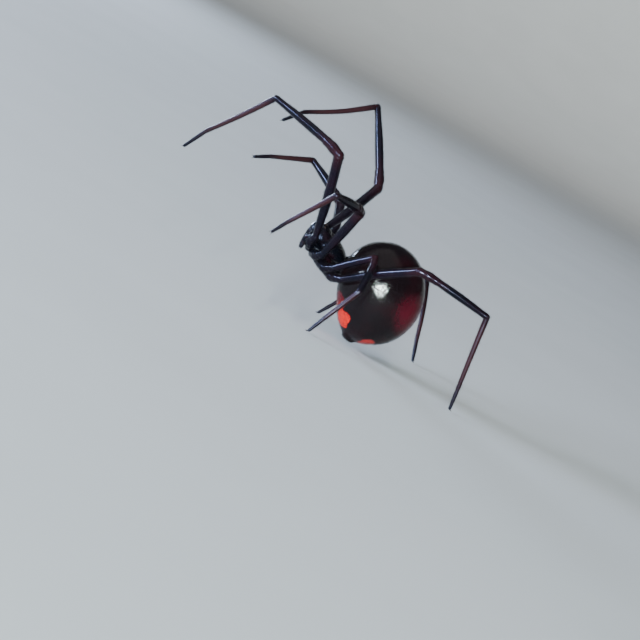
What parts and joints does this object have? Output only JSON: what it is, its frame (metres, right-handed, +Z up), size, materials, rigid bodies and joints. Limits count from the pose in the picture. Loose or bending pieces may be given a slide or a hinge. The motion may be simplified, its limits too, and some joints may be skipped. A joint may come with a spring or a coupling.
{
  "type": "spider model",
  "caption": "Glossy black widow spider, life size, standing: globe-shaped abdomen with a red hourglass below, low fore body, long thin jointed legs, front pairs reaching out.",
  "frame": {"origin": "on the floor, under the middle of the whole spider's extent in X and in Y", "axes": "+Z up; the spider faces -Y and its own left side is +X"},
  "size_m": [0.0204, 0.0254, 0.015],
  "materials": {
    "shell": "polished black cuticle",
    "skin": "glossy black skin with fine short hair, red mark below",
    "leg": "glossy black cuticle",
    "foot": "satin dark reddish brown cuticle, black at the tips",
    "eye": "mirror-smooth black",
    "fang": "polished dark red-brown"
  },
  "bodies": {
    "root": {"eye_left_front_middle": "eye", "eye_left_front_side": "eye", "eye_left_rear_middle": "eye", "eye_left_rear_side": "eye", "eye_right_front_middle": "eye", "eye_right_front_side": "eye", "eye_right_rear_middle": "eye", "eye_right_rear_side": "eye", "jaw_left": "shell", "fang_left": "fang", "palp_left": "leg", "jaw_right": "shell", "fang_right": "fang", "palp_right": "leg", "mouth_plates": "shell", "breastplate": "shell", "shield": "shell", "abdomen": "skin", "spinnerets": "skin", "waist": "skin", "leg_left_1_coxa": "leg", "leg_left_1_femur": "leg", "leg_left_1_patella": "leg", "leg_left_1_tibia": "leg", "leg_left_1_foot": "foot", "leg_left_2_coxa": "leg", "leg_left_2_femur": "leg", "leg_left_2_patella": "leg", "leg_left_2_tibia": "leg", "leg_left_2_foot": "foot", "leg_left_3_coxa": "leg", "leg_left_3_femur": "leg", "leg_left_3_patella": "leg", "leg_left_3_tibia": "leg", "leg_left_3_foot": "foot", "leg_left_4_coxa": "leg", "leg_left_4_femur": "leg", "leg_left_4_patella": "leg", "leg_left_4_tibia": "leg", "leg_left_4_foot": "foot", "leg_right_1_coxa": "leg", "leg_right_1_femur": "leg", "leg_right_1_patella": "leg", "leg_right_1_tibia": "leg", "leg_right_1_foot": "foot", "leg_right_2_coxa": "leg", "leg_right_2_femur": "leg", "leg_right_2_patella": "leg", "leg_right_2_tibia": "leg", "leg_right_2_foot": "foot", "leg_right_3_coxa": "leg", "leg_right_3_femur": "leg", "leg_right_3_patella": "leg", "leg_right_3_tibia": "leg", "leg_right_3_foot": "foot", "leg_right_4_coxa": "leg", "leg_right_4_femur": "leg", "leg_right_4_patella": "leg", "leg_right_4_tibia": "leg", "leg_right_4_foot": "foot"}
  },
  "joints": []
}
